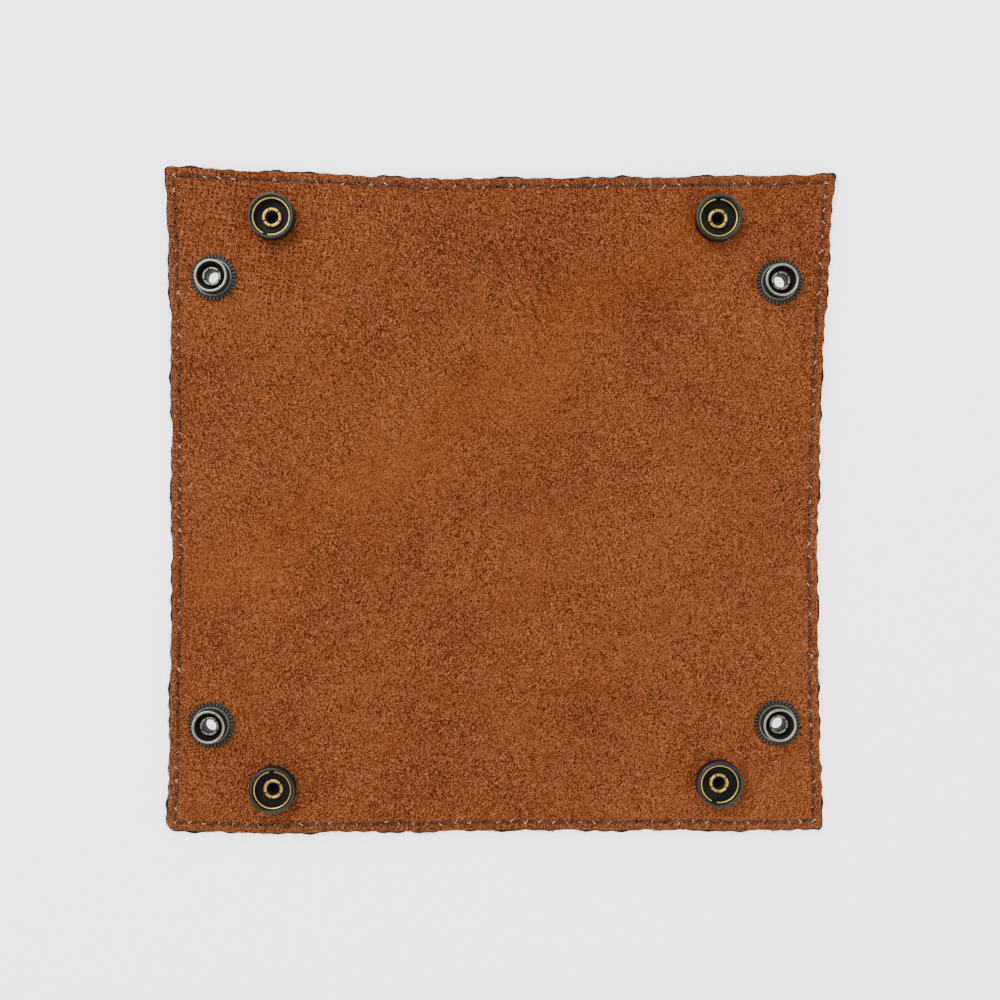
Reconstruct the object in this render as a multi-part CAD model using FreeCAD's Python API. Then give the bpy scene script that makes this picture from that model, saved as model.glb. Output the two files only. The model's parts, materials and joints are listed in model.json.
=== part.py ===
import FreeCAD, Part

import math
import os

# Folding dice tray: two square sheets of leather glued back to back and sewn round the
# edge. Flat, it lies on the table. With the four walls turned up, each corner is pinched
# outwards and a press-stud holds the pinch shut.
#
# Axes: +X right, +Y back, +Z up. Origin: the middle of the sheet, on the plane that the
# lowest caps touch. All sizes are in millimetres, with the tray flat and unsnapped.

# Sheets
SHEET_SIDE = 200.0
LEATHER_THICK = 1.2
LINING_THICK = 1.1

# Press-studs: how far each corner's pair sits from the sheet's corner (along the edge,
# in from the edge). They are punched by hand, so the corners differ a little.
SNAP_PLACES = {
    "front_left": (32.3, 13.2),
    "front_right": (32.9, 15.0),
    "back_left": (31.9, 13.9),
    "back_right": (33.2, 14.3),
}
SNAP_RADIUS = 7.0
SOCKET_HEIGHT = 3.7
SOCKET_BASE_THICK = 0.45
SOCKET_FOOT_ROUND = 0.8
ROLL_LIP = 0.2
RING_SEAT = 0.12
RING_SIDE_ROOM = 0.35
RING_HEIGHT_ROOM = 0.25
RING_TOP_ROOM = 0.15
LEDGE_SLOPE = 0.1
MOUTH_RADIUS = 5.9
RING_RADIUS = 5.63
RING_WIRE_RADIUS = 0.33
RING_GAP_DEG = 16.0
POST_RADIUS = 2.4
POST_BORE_RADIUS = 1.95
POST_TOP = 1.6
STUD_HEIGHT = 3.7
STUD_FLANGE_THICK = 0.5
EYELET_FLANGE_THICK = 0.6
EYELET_MOUTH_ROUND = 0.4
STUD_FOOT_REACH = 0.5
STUD_FILLET = 0.5
STUD_NECK_TOP = 2.3
STUD_HEAD_LOW = 2.7
STUD_HEAD_ROUND = 0.5
STUD_WELL_ROUND = 0.5
STUD_HEAD_RADIUS = 5.1
STUD_NECK_RADIUS = 4.9
STUD_WELL_RADIUS = 4.1
STUD_BASE_THICK = 0.75
MILLED_NOTCHES = 36
NOTCH_DEPTH = 0.45
NOTCH_SHARES = (0.0, 0.52, 0.66, 0.86)  # of one tooth: crest, crest, root, root
EYELET_RADIUS = 2.4
EYELET_BORE_RADIUS = 1.95
EYELET_TOP = 2.2
EYELET_FLANGE_RADIUS = 6.0
ROLL_REACH = 0.65
UNDER_ROLL_SHARE = 0.75
UNDER_ROLL_DROP = 0.1
SPLIT_ROOT = 0.12
SPLIT_CUT = 0.25
ROLL_SPLITS = [(38.0, 0.42), (112.0, 0.34), (205.0, 0.48), (262.0, 0.3), (331.0, 0.4)]
CAP_RADIUS = 7.5
CAP_DROP = 1.1
CAP_SHEET_THICK = 0.35
CAP_EDGE_THICK = 0.75
CAP_EDGE_ROUND = 0.4
CAP_EDGE_LEAN = 0.09
CAP_RISE = 0.6
CAP_HOLLOW_RISE = 0.4
POST_FLANGE_INSET = 0.9
CRIMP_THICK = 0.3
TUBE_CLEARANCE = 0.05
MATED_CLEARANCE = 0.25

# Seam: one row of lockstitch round the edge
STITCH_INSET = 2.5
STITCHES_PER_SIDE = 46
STITCHES_TO_CREASE = 10
TOP_STITCH_LENGTH = 3.3
BOBBIN_STITCH_LENGTH = 2.0
THREAD_RADIUS = 0.3

# Creases: the cut between two panels, its width on the two kinds of crease
PANEL_GAP = 0.15
SPINE_GAP = 0.35
MOUNTAIN_LEAN = math.tan(math.radians(22.5)) + 0.03

# Worked out from the sizes above
half_side = SHEET_SIDE / 2
lining_low = CAP_DROP
leather_low = lining_low + LINING_THICK
leather_top = leather_low + LEATHER_THICK
mated_gap = SOCKET_HEIGHT + STUD_FLANGE_THICK + MATED_CLEARANCE
stitch_pitch = (SHEET_SIDE - 2 * STITCH_INSET) / STITCHES_PER_SIDE
# The pinched corner closes round a narrow spine as wide as the gap between the two
# mated ears. It starts where the wall ends, and the wall ends between two stitches.
ear_length = STITCH_INSET + STITCHES_TO_CREASE * stitch_pitch
spine_offset = mated_gap / math.sqrt(2)
wall_height = ear_length - spine_offset

# Kinds of panel edge: the sheet's own cut edge, a crease that closes the leather side,
# the spine's short end on the floor, and a crease that closes the lining side
FREE = "free"
VALLEY = "valley"
SPINE_END = "spine end"
MOUNTAIN = "mountain"
EDGE_GAPS = {FREE: 0.0, VALLEY: PANEL_GAP, SPINE_END: SPINE_GAP, MOUNTAIN: PANEL_GAP}
EDGE_LEANS = {FREE: 0.0, VALLEY: 0.0, SPINE_END: 0.0, MOUNTAIN: MOUNTAIN_LEAN}

UP = FreeCAD.Vector(0, 0, 1)
ORIGIN = FreeCAD.Vector(0, 0, 0)


# Sheets -----------------------------------------------------------------------------


def signed_area(corners):
    """Shoelace sum: positive when the corners run anticlockwise seen from above."""
    following = corners[1:] + corners[:1]
    return sum(a[0] * b[1] - b[0] * a[1] for a, b in zip(corners, following)) / 2


def crossing(line_a, line_b):
    """Where two lines in plan cross; each is a point and a unit direction."""
    (ax, ay), (adx, ady) = line_a
    (bx, by), (bdx, bdy) = line_b
    along = ((bx - ax) * bdy - (by - ay) * bdx) / (adx * bdy - ady * bdx)
    return ax + along * adx, ay + along * ady


def drawn_in(corners, insets):
    """The outline with each edge moved inwards by its own inset."""
    lines = []
    for (ax, ay), (bx, by), inset in zip(corners, corners[1:] + corners[:1], insets):
        length = math.hypot(bx - ax, by - ay)
        dx = (bx - ax) / length
        dy = (by - ay) / length
        lines.append(((ax - dy * inset, ay + dx * inset), (dx, dy)))
    return [crossing(lines[i - 1], lines[i]) for i in range(len(lines))]


def panel_layer(corners, edges, low, high):
    """One layer of a panel. An edge on a mountain crease leans back towards the
    underside, so that two thick panels can fold away from each other."""
    if signed_area(corners) < 0:
        corners = corners[::-1]
        edges = edges[-2::-1] + edges[-1:]
    wires = []
    for z in (low, high):
        insets = [EDGE_GAPS[e] + EDGE_LEANS[e] * (leather_top - z) for e in edges]
        points = [FreeCAD.Vector(x, y, z) for x, y in drawn_in(corners, insets)]
        wires.append(Part.makePolygon(points + points[:1]))
    return Part.makeLoft(wires, True, True)


def panel_layers(corners, edges, hole=None):
    """Leather and lining of one panel; hole is the (x, y, radius) of a punched hole."""
    layers = [
        panel_layer(corners, edges, leather_low, leather_top),
        panel_layer(corners, edges, lining_low, leather_low),
    ]
    if hole is None:
        return layers
    x, y, radius = hole
    punch = Part.makeCylinder(radius, leather_top, FreeCAD.Vector(x, y, 0), UP)
    return [layer.cut(punch) for layer in layers]


# Turned and stamped snap parts --------------------------------------------------------


def turned(start, *steps, sweep_deg=360.0):
    """A solid of revolution about Z from a closed (radius, height) outline. A step is
    the next corner, or a pair (point on the way, end) for a round stretch."""
    edges = []
    here = start
    for step in steps + (start,):
        if isinstance(step[0], tuple):
            through, end = step
            ends = [FreeCAD.Vector(r, 0, z) for r, z in (here, through, end)]
            edges.append(Part.Arc(*ends).toShape())
        else:
            end = step
            ends = [FreeCAD.Vector(r, 0, z) for r, z in (here, end)]
            edges.append(Part.makeLine(*ends))
        here = end
    face = Part.Face(Part.Wire(edges))
    return face.revolve(ORIGIN, UP, sweep_deg)


def round_corner(radius, size):
    """Middle point of a quarter round between an underside and an upright side."""
    middle = size * (1 - math.sqrt(0.5))
    return (radius - middle, middle)


def socket_shell():
    """Stamped cup of the female half: flat base, straight side, rolled rim, and a
    groove under the rim for the ring spring."""
    hole = POST_RADIUS + TUBE_CLEARANCE
    roll = (SNAP_RADIUS - MOUTH_RADIUS) / 2
    roll_r = SNAP_RADIUS - roll
    roll_z = SOCKET_HEIGHT - roll
    groove_r = RING_RADIUS + RING_WIRE_RADIUS + RING_SIDE_ROOM
    groove_top = roll_z - ROLL_LIP
    ledge_z = groove_top - 2 * RING_WIRE_RADIUS - RING_HEIGHT_ROOM
    well_r = RING_RADIUS + RING_SEAT
    return turned(
        (hole, 0.0),
        (SNAP_RADIUS - SOCKET_FOOT_ROUND, 0.0),
        (round_corner(SNAP_RADIUS, SOCKET_FOOT_ROUND), (SNAP_RADIUS, SOCKET_FOOT_ROUND)),
        (SNAP_RADIUS, roll_z),
        ((roll_r, SOCKET_HEIGHT), (MOUTH_RADIUS, roll_z)),
        (groove_r, groove_top),
        (groove_r, ledge_z + LEDGE_SLOPE),
        (well_r, ledge_z),
        (well_r, SOCKET_BASE_THICK),
        (hole, SOCKET_BASE_THICK),
    )


def ring_spring():
    """Split ring of round wire, loose in the socket's groove."""
    roll = (SNAP_RADIUS - MOUTH_RADIUS) / 2
    z = SOCKET_HEIGHT - roll - ROLL_LIP - RING_WIRE_RADIUS - RING_TOP_ROOM
    centre = FreeCAD.Vector(RING_RADIUS, 0, z)
    circle = Part.makeCircle(RING_WIRE_RADIUS, centre, FreeCAD.Vector(0, 1, 0))
    face = Part.Face(Part.Wire([circle]))
    return face.revolve(ORIGIN, UP, 360.0 - RING_GAP_DEG)


def bowl_stretch(rim_r, rise, low):
    """Round stretch of a shallow dome from its rim to its middle, centred on the axis:
    the rim point, a point half way and the middle point."""
    sphere_r = (rim_r**2 + rise**2) / (2 * rise)
    half_r = rim_r / 2
    half_z = low + sphere_r - math.sqrt(sphere_r**2 - half_r**2)
    return (rim_r, low + rise), (half_r, half_z), (0.0, low)


def snap_cap():
    """Domed cap on the underside, its edge turned in round the post's flange."""
    inside_r = CAP_RADIUS - CAP_EDGE_THICK
    outer_rim, outer_half, crown = bowl_stretch(CAP_RADIUS - CAP_EDGE_ROUND, CAP_RISE, -CAP_DROP)
    low = CAP_SHEET_THICK - CAP_DROP
    inner_rim, inner_half, hollow = bowl_stretch(inside_r, CAP_HOLLOW_RISE, low)
    waist = (CAP_RADIUS - CAP_EDGE_LEAN, CAP_EDGE_ROUND * 2 - CAP_DROP)
    return turned(
        crown,
        (outer_half, outer_rim),
        (waist, (CAP_RADIUS - CAP_EDGE_LEAN, 0.0)),
        (inside_r, 0.0),
        inner_rim,
        (inner_half, hollow),
    )


def rolled_tube(bore, radius, flange, base_thick, top):
    """A flanged tube pushed up through both sheets and rolled outwards over the base
    of the part above. Heights are from the lining's underside; base_thick and top
    count from the leather's face. flange lists the outline's steps below the tube."""
    face_z = leather_top - lining_low
    roll_out = radius + ROLL_REACH
    roll_z = face_z + top - (roll_out - bore) / 2
    foot_z = face_z + base_thick + TUBE_CLEARANCE
    under = (radius + UNDER_ROLL_SHARE * ROLL_REACH, (foot_z + roll_z) / 2 - UNDER_ROLL_DROP)
    tube = turned(
        *flange,
        (radius, 0.0),
        (radius, foot_z),
        (under, (roll_out, roll_z)),
        (((bore + roll_out) / 2, face_z + top), (bore, roll_z)),
    )
    # The rim splits as it is rolled over
    for split_deg, split_width in ROLL_SPLITS:
        split = Part.makeBox(2 * ROLL_REACH, split_width, top)
        split.translate(FreeCAD.Vector(radius - SPLIT_CUT, -split_width / 2, roll_z - SPLIT_ROOT))
        split.rotate(ORIGIN, UP, split_deg)
        tube = tube.cut(split)
    return tube


def cap_post():
    """Barrel of the cap: a flat flange held in the cap's edge, a tube and its roll."""
    flange_r = CAP_RADIUS - POST_FLANGE_INSET
    flange = [
        (POST_BORE_RADIUS, -CRIMP_THICK),
        (flange_r, -CRIMP_THICK),
        (flange_r, 0.0),
    ]
    return rolled_tube(POST_BORE_RADIUS, POST_RADIUS, flange, SOCKET_BASE_THICK, POST_TOP)


def eyelet():
    """Open eyelet of the male half, with a round-edged flange on the underside."""
    low = -EYELET_FLANGE_THICK
    mouth = EYELET_MOUTH_ROUND
    mouth_half = mouth * (1 - math.sqrt(0.5))
    rim_middle_x, rim_middle_z = round_corner(EYELET_FLANGE_RADIUS, EYELET_FLANGE_THICK)
    flange = [
        (EYELET_BORE_RADIUS, low + mouth),
        ((EYELET_BORE_RADIUS + mouth_half, low + mouth_half), (EYELET_BORE_RADIUS + mouth, low)),
        (EYELET_FLANGE_RADIUS - EYELET_FLANGE_THICK, low),
        ((rim_middle_x, low + rim_middle_z), (EYELET_FLANGE_RADIUS, 0.0)),
    ]
    return rolled_tube(EYELET_BORE_RADIUS, EYELET_RADIUS, flange, STUD_BASE_THICK, EYELET_TOP)


def milled_flange():
    """Round plate whose edge is cut into small even teeth."""
    tooth = 2 * math.pi / MILLED_NOTCHES
    corners = []
    root_r = SNAP_RADIUS - NOTCH_DEPTH
    for i in range(MILLED_NOTCHES):
        for share, r in zip(NOTCH_SHARES, (SNAP_RADIUS, SNAP_RADIUS, root_r, root_r)):
            angle = (i + share) * tooth
            corners.append(FreeCAD.Vector(r * math.cos(angle), r * math.sin(angle), 0))
    outline = Part.Face(Part.makePolygon(corners + corners[:1]))
    plate = outline.extrude(FreeCAD.Vector(0, 0, STUD_FLANGE_THICK))
    return plate.cut(Part.makeCylinder(EYELET_RADIUS + TUBE_CLEARANCE, STUD_FLANGE_THICK))


def stud():
    """Male half: milled flange and a hollow boss that widens a little at its head."""
    hole = EYELET_RADIUS + TUBE_CLEARANCE
    foot_r = STUD_NECK_RADIUS + STUD_FOOT_REACH
    fillet = STUD_FILLET * (1 - math.sqrt(0.5))
    fillet_middle = (STUD_NECK_RADIUS + fillet, STUD_FLANGE_THICK + fillet)
    head = STUD_HEAD_ROUND * (1 - math.sqrt(0.5))
    lip = STUD_WELL_ROUND * (1 - math.sqrt(0.5))
    boss = turned(
        (hole, 0.0),
        (foot_r, 0.0),
        (foot_r, STUD_FLANGE_THICK),
        (fillet_middle, (STUD_NECK_RADIUS, STUD_FLANGE_THICK + STUD_FILLET)),
        (STUD_NECK_RADIUS, STUD_NECK_TOP),
        (STUD_HEAD_RADIUS, STUD_HEAD_LOW),
        (STUD_HEAD_RADIUS, STUD_HEIGHT - STUD_HEAD_ROUND),
        (
            (STUD_HEAD_RADIUS - head, STUD_HEIGHT - head),
            (STUD_HEAD_RADIUS - STUD_HEAD_ROUND, STUD_HEIGHT),
        ),
        (
            (STUD_WELL_RADIUS + lip, STUD_HEIGHT - lip),
            (STUD_WELL_RADIUS, STUD_HEIGHT - STUD_WELL_ROUND),
        ),
        (STUD_WELL_RADIUS, STUD_BASE_THICK),
        (hole, STUD_BASE_THICK),
    )
    return milled_flange().fuse(boss).removeSplitter()


# Seam ---------------------------------------------------------------------------------


def stitch_row(start, direction, indexes):
    """Lockstitches of one panel: half-round lengths of thread lying on the leather,
    and shorter ones of bobbin thread under the lining."""
    along = FreeCAD.Vector(*direction, 0)
    side = UP.cross(along) * THREAD_RADIUS
    stitches = []
    for face_z, length, outwards in (
        (leather_top, TOP_STITCH_LENGTH, UP),
        (lining_low, BOBBIN_STITCH_LENGTH, -UP),
    ):
        for i in indexes:
            middle = STITCH_INSET + (i + 0.5) * stitch_pitch
            end = FreeCAD.Vector(*start, face_z) + along * (middle - length / 2)
            crown = end + outwards * THREAD_RADIUS
            arc = Part.Arc(end + side, crown, end - side).toShape()
            chord = Part.makeLine(end - side, end + side)
            section = Part.Face(Part.Wire([arc, chord]))
            stitches.append(section.extrude(along * length))
    return Part.makeCompound(stitches)


# The tray -----------------------------------------------------------------------------


def keep(name, solids):
    """Write one node: a single solid, or a group of solids that lie together."""
    shape = solids[0] if len(solids) == 1 else Part.makeCompound(solids)
    shape.exportStep("parts/" + name + ".step")


def placed(shape, x, y, z, turn_deg=0.0):
    """The snap part set down on its hole, turned about its own axis."""
    shape.rotate(ORIGIN, UP, turn_deg)
    shape.translate(FreeCAD.Vector(x, y, z))
    return shape


os.makedirs("parts", exist_ok=True)

# Floor: a square with its corners cut off by the spines
near = half_side - ear_length
far = half_side - wall_height
floor_corners = [
    (-near, -far), (near, -far), (far, -near), (far, near),
    (near, far), (-near, far), (-far, near), (-far, -near),
]
floor_layers = panel_layers(floor_corners, [VALLEY, SPINE_END] * 4)
keep("leather_floor", floor_layers[:1])
keep("lining_floor", floor_layers[1:])

# Walls: each runs between the creases of its two ears
WALL_OUTWARDS = {"front": (0, -1), "back": (0, 1), "left": (-1, 0), "right": (1, 0)}
wall_stitches = range(STITCHES_TO_CREASE, STITCHES_PER_SIDE - STITCHES_TO_CREASE)
for side_name, (ox, oy) in WALL_OUTWARDS.items():
    # along points anticlockwise round the tray
    ax, ay = -oy, ox
    reach = [(near, far), (near, half_side), (-near, half_side), (-near, far)]
    corners = [(ax * a + ox * o, ay * a + oy * o) for a, o in reach]
    wall_layers = panel_layers(corners, [MOUNTAIN, FREE, MOUNTAIN, VALLEY])
    keep("leather_wall_" + side_name, wall_layers[:1])
    keep("lining_wall_" + side_name, wall_layers[1:])
    seam_out = half_side - STITCH_INSET
    seam_start = (ox * seam_out - ax * half_side, oy * seam_out - ay * half_side)
    keep("thread_wall_" + side_name, [stitch_row(seam_start, (ax, ay), wall_stitches)])

# Corners: a socket ear on the front or back wall, a spine, and a stud ear
EAR_CORNERS = [(ear_length, wall_height), (ear_length, 0.0), (spine_offset, 0.0)]
EAR_EDGES = [MOUNTAIN, FREE, VALLEY]
SPINE_CORNERS = [
    (ear_length, wall_height), (spine_offset, 0.0), (0.0, 0.0),
    (0.0, spine_offset), (wall_height, ear_length),
]
SPINE_EDGES = [VALLEY, FREE, FREE, VALLEY, SPINE_END]
ear_stitches = range(1, STITCHES_TO_CREASE)
for corner_name, (along_edge, from_edge) in SNAP_PLACES.items():
    # inwards along X and along Y from this corner of the sheet
    ix = 1 if "left" in corner_name else -1
    iy = 1 if "front" in corner_name else -1
    kx = -ix * half_side
    ky = -iy * half_side

    socket_x = kx + ix * along_edge
    socket_y = ky + iy * from_edge
    corners = [(kx + ix * u, ky + iy * v) for u, v in EAR_CORNERS]
    hole = (socket_x, socket_y, POST_RADIUS + TUBE_CLEARANCE)
    keep("socket_ear_" + corner_name, panel_layers(corners, EAR_EDGES, hole))
    seam = stitch_row((kx, ky + iy * STITCH_INSET), (ix, 0), ear_stitches)
    keep("thread_socket_ear_" + corner_name, [seam])
    keep("socket_shell_" + corner_name, [placed(socket_shell(), socket_x, socket_y, leather_top)])
    ring_turn = 100.0 * ix * iy
    ring = placed(ring_spring(), socket_x, socket_y, leather_top, ring_turn)
    keep("ring_spring_" + corner_name, [ring])
    keep("snap_cap_" + corner_name, [placed(snap_cap(), socket_x, socket_y, lining_low)])
    keep("cap_post_" + corner_name, [placed(cap_post(), socket_x, socket_y, lining_low)])

    corners = [(kx + ix * u, ky + iy * v) for u, v in SPINE_CORNERS]
    keep("corner_spine_" + corner_name, panel_layers(corners, SPINE_EDGES))

    stud_x = kx + ix * from_edge
    stud_y = ky + iy * along_edge
    corners = [(kx + ix * v, ky + iy * u) for u, v in EAR_CORNERS]
    hole = (stud_x, stud_y, EYELET_RADIUS + TUBE_CLEARANCE)
    keep("stud_ear_" + corner_name, panel_layers(corners, EAR_EDGES, hole))
    seam = stitch_row((kx + ix * STITCH_INSET, ky), (0, iy), ear_stitches)
    keep("thread_stud_ear_" + corner_name, [seam])
    keep("stud_" + corner_name, [placed(stud(), stud_x, stud_y, leather_top)])
    keep("eyelet_" + corner_name, [placed(eyelet(), stud_x, stud_y, lining_low)])

print("pieces written:", len(os.listdir("parts")))
print("ear length", round(ear_length, 3), "wall height", round(wall_height, 3))
print("leather top", leather_top, "mated gap", mated_gap)
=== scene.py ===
import json
import math

import bmesh
import bpy
import numpy as np
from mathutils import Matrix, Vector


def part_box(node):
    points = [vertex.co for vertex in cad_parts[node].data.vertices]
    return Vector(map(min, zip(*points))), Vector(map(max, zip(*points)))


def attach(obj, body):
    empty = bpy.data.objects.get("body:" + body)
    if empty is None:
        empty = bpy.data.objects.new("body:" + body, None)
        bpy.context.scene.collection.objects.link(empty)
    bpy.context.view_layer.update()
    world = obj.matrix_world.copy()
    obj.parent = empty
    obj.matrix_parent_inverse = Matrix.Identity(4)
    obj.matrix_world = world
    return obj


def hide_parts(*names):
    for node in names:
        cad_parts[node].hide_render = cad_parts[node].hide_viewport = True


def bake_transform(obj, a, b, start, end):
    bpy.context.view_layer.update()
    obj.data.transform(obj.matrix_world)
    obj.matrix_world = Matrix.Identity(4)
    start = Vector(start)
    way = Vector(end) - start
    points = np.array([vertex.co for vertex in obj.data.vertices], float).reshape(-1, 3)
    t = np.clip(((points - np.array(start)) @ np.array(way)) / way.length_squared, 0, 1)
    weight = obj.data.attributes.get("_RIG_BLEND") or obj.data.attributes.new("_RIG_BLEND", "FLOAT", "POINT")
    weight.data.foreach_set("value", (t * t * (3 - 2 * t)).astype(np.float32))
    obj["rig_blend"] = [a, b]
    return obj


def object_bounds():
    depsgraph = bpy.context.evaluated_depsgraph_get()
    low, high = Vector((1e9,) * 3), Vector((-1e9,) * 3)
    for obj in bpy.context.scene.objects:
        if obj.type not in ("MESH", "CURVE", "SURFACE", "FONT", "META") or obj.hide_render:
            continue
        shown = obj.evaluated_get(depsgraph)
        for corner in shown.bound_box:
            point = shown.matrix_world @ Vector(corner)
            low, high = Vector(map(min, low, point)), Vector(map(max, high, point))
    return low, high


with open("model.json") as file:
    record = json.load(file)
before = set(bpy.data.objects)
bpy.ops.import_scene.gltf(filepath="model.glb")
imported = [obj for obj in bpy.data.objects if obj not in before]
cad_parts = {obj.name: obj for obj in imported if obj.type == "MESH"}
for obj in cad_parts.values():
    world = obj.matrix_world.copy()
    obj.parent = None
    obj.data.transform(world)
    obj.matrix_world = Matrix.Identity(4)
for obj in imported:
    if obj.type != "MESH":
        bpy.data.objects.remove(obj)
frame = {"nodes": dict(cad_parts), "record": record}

cad_low, cad_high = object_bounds()
MM = 0.001

# Camera, floor and light ------------------------------------------------------------
# The tray lies open on a pale table top and is seen from straight above, from about
# an arm's length, under a large soft lamp with a weaker one opposite.

joints = {j["name"]: j for j in frame["record"]["behaviour"]["joints"]}
half_side = cad_high[0]
leather_top = joints["fold_front"]["pos_m"][2]

camera_data = bpy.data.cameras.new("camera")
camera = bpy.data.objects.new("camera", camera_data)
bpy.context.scene.collection.objects.link(camera)
bpy.context.scene.camera = camera
VIEW_HEIGHT = 340 * MM
VIEW_WIDTH = 303.5 * MM
VIEW_CENTRE = (0.9 * MM, 0.6 * MM)
camera.location = (*VIEW_CENTRE, leather_top + VIEW_HEIGHT)
camera_data.angle = 2 * math.atan(VIEW_WIDTH / 2 / VIEW_HEIGHT)
camera_data.clip_start = 10 * MM


def area_lamp(name, place, size, power):
    """A square soft lamp that looks at the middle of the tray."""
    data = bpy.data.lights.new(name, "AREA")
    data.size = size
    data.energy = power
    lamp = bpy.data.objects.new(name, data)
    bpy.context.scene.collection.objects.link(lamp)
    lamp.location = place
    direction = -lamp.location
    lamp.rotation_euler = direction.to_track_quat("-Z", "Y").to_euler()


area_lamp("key_lamp", (-0.5, 0.6, 0.8), 0.8, 11.0)
area_lamp("fill_lamp", (0.8, -0.5, 0.8), 0.9, 4.5)


class Value:
    """A shader socket that takes part in Python sums; each operation adds a node."""

    def __init__(self, tree, socket):
        self.tree = tree
        self.socket = socket

    def math(self, operation, *others):
        """One Math node on the given values or numbers, in their order."""
        node = self.tree.nodes.new("ShaderNodeMath")
        node.operation = operation
        for slot, item in zip(node.inputs, others):
            plug(self.tree, slot, item)
        return Value(self.tree, node.outputs[0])

    def __add__(self, other):
        return self.math("ADD", self, other)

    def __sub__(self, other):
        return self.math("SUBTRACT", self, other)

    def __rsub__(self, other):
        return self.math("SUBTRACT", other, self)

    def __mul__(self, other):
        return self.math("MULTIPLY", self, other)

    __radd__ = __add__
    __rmul__ = __mul__

    def at_most(self, other):
        """The smaller of the two."""
        return self.math("MINIMUM", self, other)

    def at_least(self, other):
        """The larger of the two."""
        return self.math("MAXIMUM", self, other)

    def size(self):
        """The value without its sign."""
        return self.math("ABSOLUTE", self)

    def sine(self):
        """The sine of an angle in radians."""
        return self.math("SINE", self)

    def power(self, exponent):
        """The value raised to an exponent."""
        return self.math("POWER", self, exponent)

    def wrap(self, length):
        """Position within a repeat, measured from the repeat's middle."""
        return self.math("WRAP", self, length / 2, -length / 2)

    def ramp(self, low, high):
        """0 below low, 1 above high, and a smooth step between."""
        node = self.tree.nodes.new("ShaderNodeMapRange")
        node.interpolation_type = "SMOOTHSTEP"
        plug(self.tree, node.inputs["Value"], self)
        plug(self.tree, node.inputs["From Min"], low)
        plug(self.tree, node.inputs["From Max"], high)
        return Value(self.tree, node.outputs["Result"])


def plug(tree, slot, item):
    """Join a Value to a socket, or set the socket to a number or tuple."""
    if isinstance(item, Value):
        tree.links.new(item.socket, slot)
    else:
        slot.default_value = item


class Finish:
    """A material under construction: its node tree and its Principled shader."""

    def __init__(self, name):
        self.material = bpy.data.materials.new(name)
        self.material.use_nodes = True
        self.tree = self.material.node_tree
        self.shader = self.tree.nodes["Principled BSDF"]

    def node(self, kind, settings=None, output=0, **inputs):
        """Any node: its type, its settings, then its sockets by name."""
        node = self.tree.nodes.new(kind)
        for key, value in (settings or {}).items():
            setattr(node, key, value)
        for key, item in inputs.items():
            plug(self.tree, node.inputs[key.replace("_", " ")], item)
        return Value(self.tree, node.outputs[output])

    def attribute(self, name, output):
        """A value stored on the mesh's points."""
        return self.node("ShaderNodeAttribute", {"attribute_name": name}, output)

    def place(self):
        """Where the point lies on the flat tray, in millimetres."""
        flat = self.attribute("flat_place", "Vector")
        return self.scaled(flat, 1 / MM)

    def scaled(self, vector, factor):
        """Each part of the vector times the factor."""
        return self.vector("SCALE", vector, Scale=factor)

    def vector(self, operation, *items, **inputs):
        """One Vector Math node; the length of a vector comes out as a number."""
        node = self.tree.nodes.new("ShaderNodeVectorMath")
        node.operation = operation
        for slot, item in zip(node.inputs, items):
            plug(self.tree, slot, item)
        for key, item in inputs.items():
            plug(self.tree, node.inputs[key], item)
        return Value(self.tree, node.outputs["Value" if operation == "LENGTH" else 0])

    def split(self, vector):
        """The three parts of a vector."""
        node = self.tree.nodes.new("ShaderNodeSeparateXYZ")
        plug(self.tree, node.inputs[0], vector)
        return [Value(self.tree, out) for out in node.outputs]

    def noise(self, vector, scale, detail=2.0, roughness=0.5):
        """Soft noise about a half, with so many lumps to a millimetre."""
        return self.node("ShaderNodeTexNoise", None, "Fac", Vector=vector, Scale=scale,
                         Detail=detail, Roughness=roughness)

    def blend(self, factor, first, second):
        """Two colours mixed; a plain tuple is a linear colour."""
        node = self.tree.nodes.new("ShaderNodeMix")
        node.data_type = "RGBA"
        node.clamp_factor = True
        plug(self.tree, node.inputs[0], factor)
        for slot, item in ((node.inputs[6], first), (node.inputs[7], second)):
            plug(self.tree, slot, item if isinstance(item, Value) else (*item, 1.0))
        return Value(self.tree, node.outputs[2])

    def bump(self, height, depth, normal=None):
        """Surface relief: height in 0 to 1, depth in metres."""
        node = self.tree.nodes.new("ShaderNodeBump")
        node.inputs["Distance"].default_value = depth
        plug(self.tree, node.inputs["Height"], height)
        if normal is not None:
            plug(self.tree, node.inputs["Normal"], normal)
        return Value(self.tree, node.outputs[0])

    def set(self, **inputs):
        """Join or set the shader's sockets by name."""
        for key, item in inputs.items():
            plug(self.tree, self.shader.inputs[key.replace("_", " ")], item)


def studio_world():
    """Plain soft surround: pale walls that brighten half way up and a dim ceiling."""
    world = bpy.data.worlds.new("studio")
    bpy.context.scene.world = world
    world.use_nodes = True
    tree = world.node_tree
    coordinates = tree.nodes.new("ShaderNodeTexCoord")
    parts = tree.nodes.new("ShaderNodeSeparateXYZ")
    tree.links.new(coordinates.outputs["Generated"], parts.inputs[0])
    height = Value(tree, parts.outputs[2])
    walls = height.ramp(0.0, 0.45)
    ceiling = height.ramp(0.72, 0.93)
    background = tree.nodes["Background"]
    background.inputs["Color"].default_value = (1.0, 0.99, 0.97, 1.0)
    plug(tree, background.inputs["Strength"], (0.5 + 0.7 * walls) * (1 - 0.86 * ceiling))


studio_world()


TABLE_REACH = 3.0
TABLE_GAP = 0.02 * MM


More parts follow.
